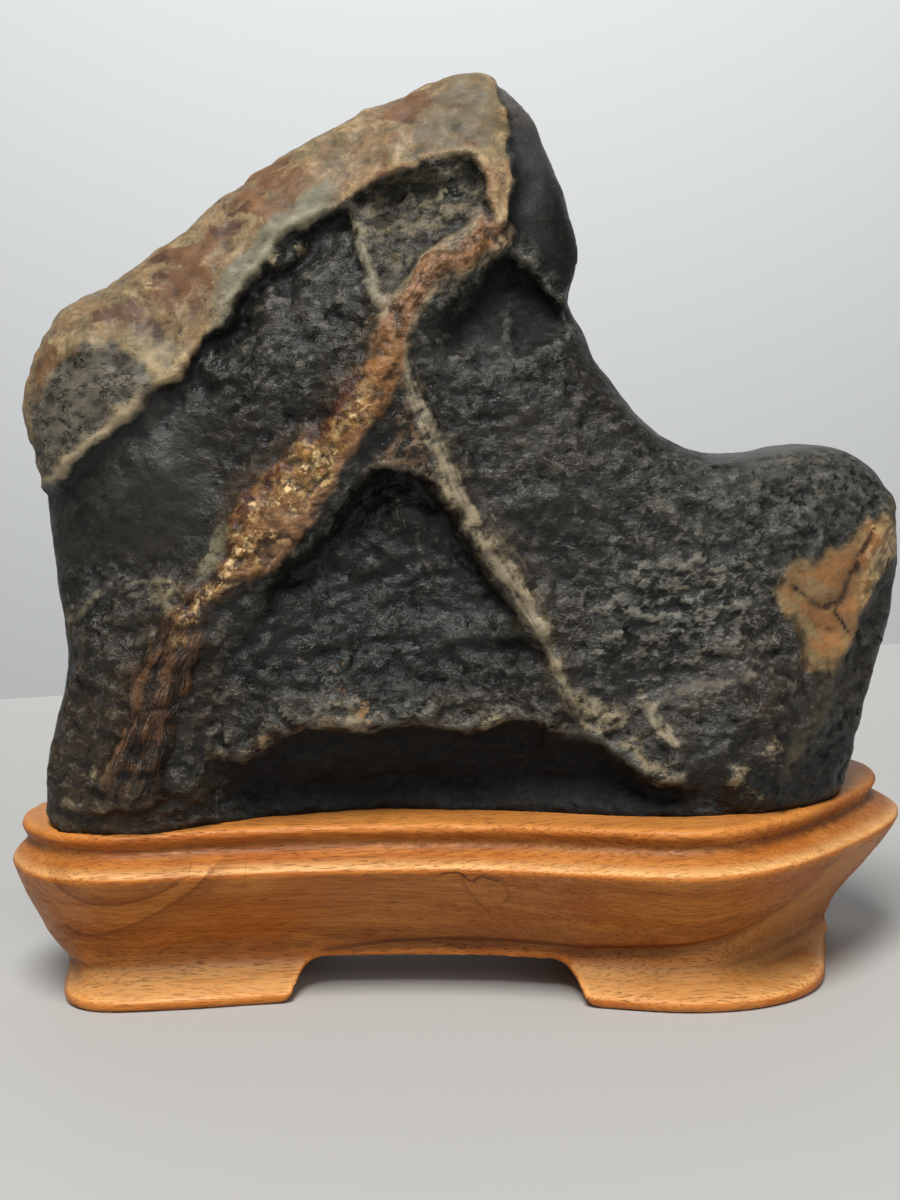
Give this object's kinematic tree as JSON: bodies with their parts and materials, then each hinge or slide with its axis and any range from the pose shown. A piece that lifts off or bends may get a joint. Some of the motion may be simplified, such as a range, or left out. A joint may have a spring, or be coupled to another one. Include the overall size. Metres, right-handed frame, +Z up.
{
  "type": "scholar's rock on a carved stand",
  "caption": "Dark water-worn display stone with a peaked left side, a low right lobe and rusty veins, resting in a fitted carved wooden stand with feet.",
  "frame": {"origin": "middle of the stand's footprint box, on the surface that the feet stand on", "axes": "+X along the length towards the low lobe, +Y to the back, +Z up; the veined face looks towards -Y"},
  "size_m": [0.2246, 0.0978, 0.2161],
  "materials": {
    "stone": "water-worn satin, near-black with rusty and pale veins and a tan crust",
    "stand_wood": "satin, light orange-brown with growth rings and fine dark pores"
  },
  "bodies": {
    "root": {"scholars_rock": "stone", "carved_stand": "stand_wood"}
  },
  "joints": []
}
